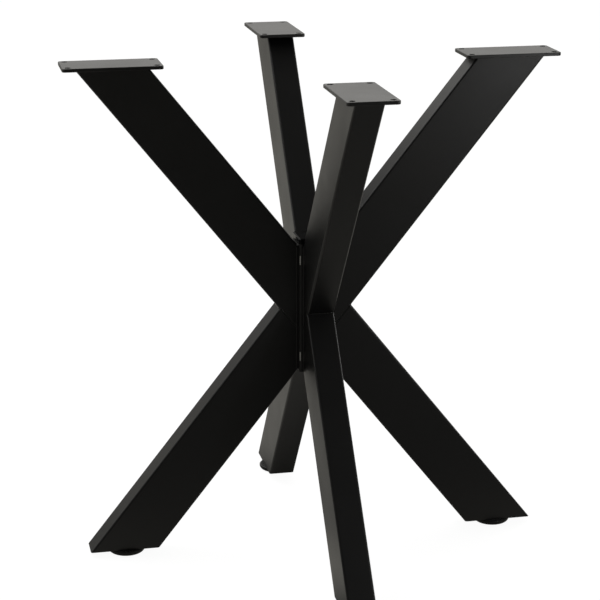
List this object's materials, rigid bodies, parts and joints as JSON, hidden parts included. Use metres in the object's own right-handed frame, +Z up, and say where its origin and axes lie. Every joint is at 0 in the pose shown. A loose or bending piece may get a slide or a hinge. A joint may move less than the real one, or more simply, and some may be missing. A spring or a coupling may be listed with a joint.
{
  "type": "table base",
  "caption": "Steel table base with V-shaped tube legs set in a cross round a square hub, with screw plates for the table top and levelling feet below.",
  "frame": {"origin": "on the floor, on the vertical axis through the hub", "axes": "+Z up, X and Y along the legs, with the front leg on -Y"},
  "size_m": [0.7148, 0.7148, 0.73],
  "materials": {
    "powder_coat": "fine textured black powder coat on steel, satin",
    "black_plastic": "moulded black plastic, slightly glossy",
    "zinc_steel": "zinc-plated steel"
  },
  "bodies": {
    "frame": {"upper_arm_right": "powder_coat", "upper_arm_rear": "powder_coat", "upper_arm_left": "powder_coat", "upper_arm_front": "powder_coat", "lower_arm_right": "powder_coat", "lower_arm_rear": "powder_coat", "lower_arm_left": "powder_coat", "lower_arm_front": "powder_coat", "top_plate_right": "powder_coat", "top_plate_rear": "powder_coat", "top_plate_left": "powder_coat", "top_plate_front": "powder_coat", "hub_plate_right": "powder_coat", "hub_plate_rear": "powder_coat", "hub_plate_left": "powder_coat", "hub_plate_front": "powder_coat", "foot_plate_right": "powder_coat", "foot_plate_rear": "powder_coat", "foot_plate_left": "powder_coat", "foot_plate_front": "powder_coat", "hub": "powder_coat", "hub_cap": "black_plastic", "foot_nuts": "zinc_steel", "hub_nuts": "zinc_steel", "hub_bolts": "zinc_steel", "hub_washers": "zinc_steel"},
    "foot_right": {"foot_pad_right": "black_plastic", "foot_stud_right": "zinc_steel"},
    "foot_rear": {"foot_pad_rear": "black_plastic", "foot_stud_rear": "zinc_steel"},
    "foot_left": {"foot_pad_left": "black_plastic", "foot_stud_left": "zinc_steel"},
    "foot_front": {"foot_pad_front": "black_plastic", "foot_stud_front": "zinc_steel"}
  },
  "joints": [
    {"name": "level_right", "type": "slide", "parent": "frame", "child": "foot_right", "axis": [0, 0, -1], "range_m": [0, 0.015]},
    {"name": "level_rear", "type": "slide", "parent": "frame", "child": "foot_rear", "axis": [0, 0, -1], "range_m": [0, 0.015]},
    {"name": "level_left", "type": "slide", "parent": "frame", "child": "foot_left", "axis": [0, 0, -1], "range_m": [0, 0.015]},
    {"name": "level_front", "type": "slide", "parent": "frame", "child": "foot_front", "axis": [0, 0, -1], "range_m": [0, 0.015]}
  ]
}
